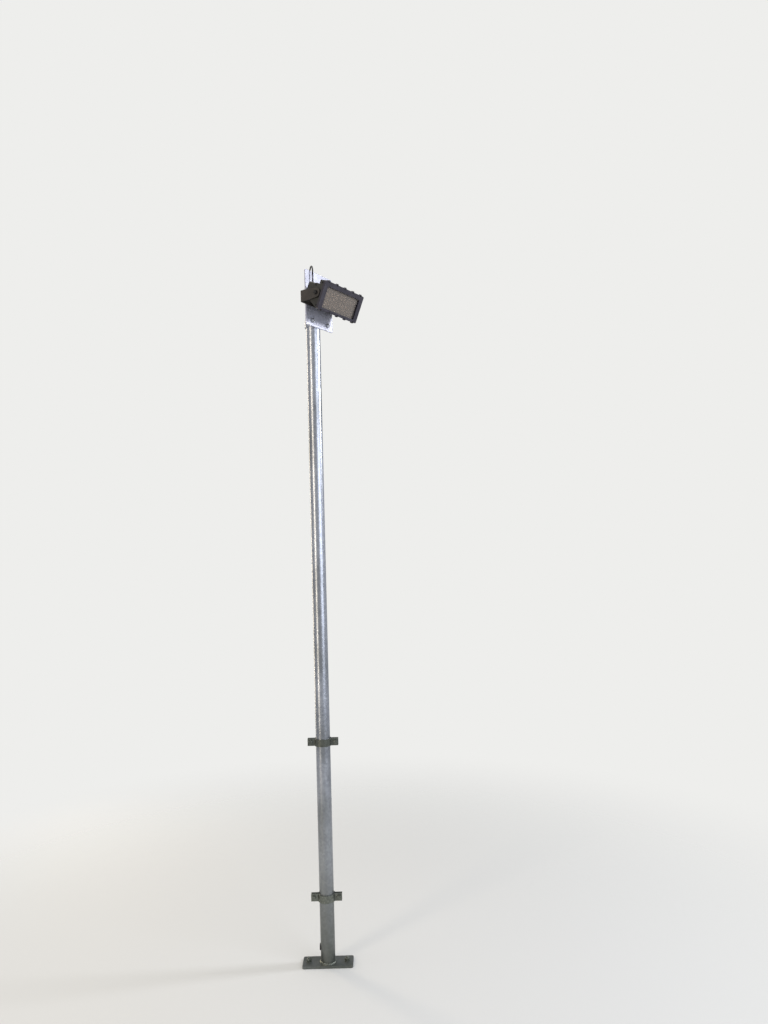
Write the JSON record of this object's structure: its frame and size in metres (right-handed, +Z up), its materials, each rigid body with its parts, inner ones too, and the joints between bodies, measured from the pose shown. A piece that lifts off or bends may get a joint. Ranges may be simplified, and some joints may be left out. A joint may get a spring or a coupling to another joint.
{
  "type": "floodlight post",
  "caption": "Galvanised steel tube on a bolted foot plate, with bar clamps for a guard rail and a finned floodlight tilting in a yoke on an upright head plate.",
  "frame": {"origin": "centre of the foot plate's underside, on the ground", "axes": "+Z up along the mast; +X to the right and +Y away from the viewer of the picture, square to the foot plate; the lamp faces down and out, its front turned 58 degrees round from -Y towards +X"},
  "size_m": [0.3256, 0.3005, 2.9355],
  "materials": {
    "galvanised_steel": "hot-dip galvanised, dulled",
    "bright_zinc": "hot-dip galvanised, pale",
    "weathered_zinc": "galvanised, weathered dark",
    "yoke_paint": "powder-coated steel",
    "body_paint": "powder-coated die-cast aluminium",
    "frame_paint": "powder-coated die-cast aluminium",
    "clear_glass": "toughened clear glass",
    "bright_aluminium": "bright rolled sheet",
    "board_lacquer": "white solder lacquer",
    "lens_plastic": "moulded acrylic",
    "black_plastic": "moulded",
    "black_rubber": "matt",
    "stainless": "stainless steel"
  },
  "bodies": {
    "mast": {"foot_plate": "galvanised_steel", "foot_weld": "galvanised_steel", "mast_tube": "galvanised_steel", "cable_grommet": "black_rubber", "low_clamp_front": "weathered_zinc", "low_clamp_back": "weathered_zinc", "rail_clamp_front": "weathered_zinc", "rail_clamp_back": "weathered_zinc", "mast_cap": "black_plastic", "head_plate": "bright_zinc", "head_saddle_upper": "galvanised_steel", "head_saddle_lower": "galvanised_steel", "yoke": "yoke_paint", "lamp_lead": "black_rubber"},
    "lamp": {"lamp_body": "body_paint", "end_cap_near": "body_paint", "end_cap_far": "body_paint", "front_frame": "frame_paint", "front_glass": "clear_glass", "glass_gasket": "black_rubber", "reflector": "bright_aluminium", "led_board": "board_lacquer", "lens_sheet": "lens_plastic", "driver_box": "body_paint", "driver_cover": "body_paint", "cable_gland": "black_plastic", "pivot_bolt_near": "stainless", "pivot_bolt_far": "stainless"}
  },
  "joints": [
    {"name": "lamp_tilt", "type": "hinge", "parent": "mast", "child": "lamp", "pos_m": [0.10189, -0.06367, 2.777], "axis": [0.5299, 0.848, 0], "range_deg": [-15, 35], "deforming": ["lamp_lead"]}
  ]
}
